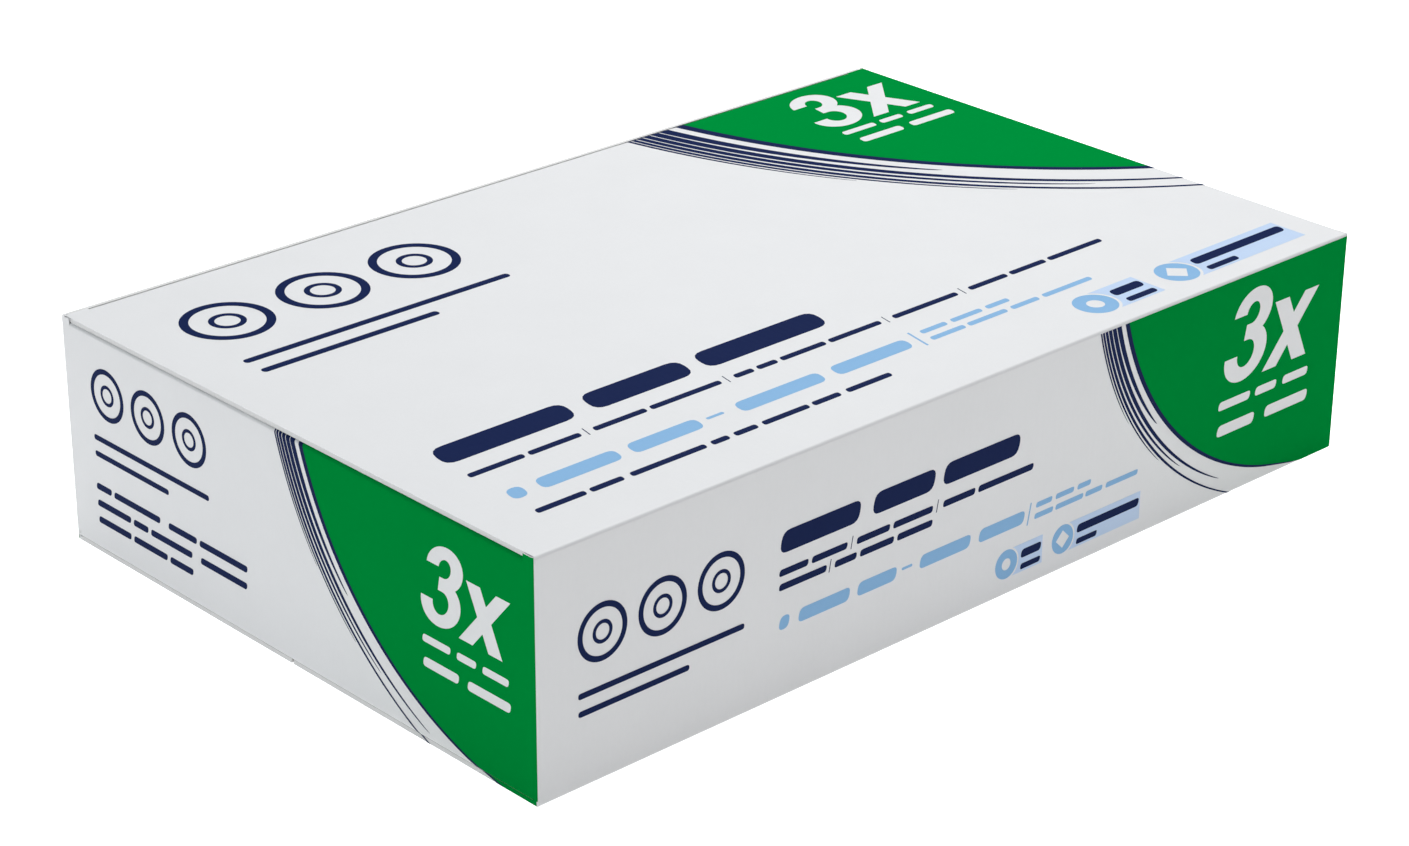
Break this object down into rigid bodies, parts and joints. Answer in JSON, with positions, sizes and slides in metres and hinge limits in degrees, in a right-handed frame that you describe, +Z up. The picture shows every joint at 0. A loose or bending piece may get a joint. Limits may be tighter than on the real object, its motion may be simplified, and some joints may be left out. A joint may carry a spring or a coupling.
{
  "type": "cling film refill carton",
  "caption": "Long low carton of printed corrugated board with a hinged tuck lid and dust flaps, holding wound rolls of cling film on paper cores laid side by side.",
  "frame": {"origin": "centre of the bottom face of the closed carton", "axes": "+X along the rolls and the carton's long side, towards the end wall that holds the seam tab; +Y from the front wall, where the lid is creased, to the back wall; +Z up"},
  "size_m": [0.312, 0.201, 0.069],
  "materials": {
    "printed_board": "satin",
    "plain_board": "matte",
    "core_paper": "matte",
    "cling_film": "gloss",
    "label_paper": "satin"
  },
  "bodies": {
    "carton": {"front_wall": "printed_board", "back_wall": "printed_board", "left_end_wall": "printed_board", "right_end_wall": "printed_board", "seam_glue_tab": "plain_board", "bottom_flap_front": "printed_board", "bottom_flap_back": "printed_board", "bottom_flap_left": "plain_board", "bottom_flap_right": "plain_board"},
    "lid": {"lid_panel": "printed_board"},
    "tuck_flap": {"lid_tuck_flap": "plain_board"},
    "left_dust_flap": {"dust_flap_left": "plain_board"},
    "right_dust_flap": {"dust_flap_right": "plain_board"},
    "front_roll": {"front_roll_core": "core_paper", "front_roll_film": "cling_film", "front_roll_start_label": "label_paper"},
    "middle_roll": {"middle_roll_core": "core_paper", "middle_roll_film": "cling_film", "middle_roll_start_label": "label_paper"},
    "back_roll": {"back_roll_core": "core_paper", "back_roll_film": "cling_film", "back_roll_start_label": "label_paper"}
  },
  "joints": [
    {"name": "lid_crease", "type": "hinge", "parent": "carton", "child": "lid", "pos_m": [0, -0.1005, 0.069], "axis": [1, 0, 0], "range_deg": [0, 195]},
    {"name": "tuck_crease", "type": "hinge", "parent": "lid", "child": "tuck_flap", "pos_m": [0, 0.0989, 0.069], "axis": [1, 0, 0], "range_deg": [0, 60]},
    {"name": "left_dust_crease", "type": "hinge", "parent": "carton", "child": "left_dust_flap", "pos_m": [-0.156, 0, 0.0676], "axis": [0, -1, 0], "range_deg": [0, 98]},
    {"name": "right_dust_crease", "type": "hinge", "parent": "carton", "child": "right_dust_flap", "pos_m": [0.156, 0, 0.0676], "axis": [0, 1, 0], "range_deg": [0, 98]},
    {"name": "front_roll_turn", "type": "hinge", "parent": "carton", "child": "front_roll", "pos_m": [0, -0.0657, 0.0343], "axis": [1, 0, 0], "continuous": true},
    {"name": "middle_roll_turn", "type": "hinge", "parent": "carton", "child": "middle_roll", "pos_m": [0, -0.0005, 0.0343], "axis": [1, 0, 0], "continuous": true},
    {"name": "back_roll_turn", "type": "hinge", "parent": "carton", "child": "back_roll", "pos_m": [0, 0.0647, 0.0343], "axis": [1, 0, 0], "continuous": true}
  ],
  "couplings": [
    {"joint": "tuck_crease", "follows": "lid_crease", "ratio": 0.3},
    {"joint": "left_dust_crease", "follows": "lid_crease", "ratio": 0.5},
    {"joint": "right_dust_crease", "follows": "lid_crease", "ratio": 0.5}
  ]
}
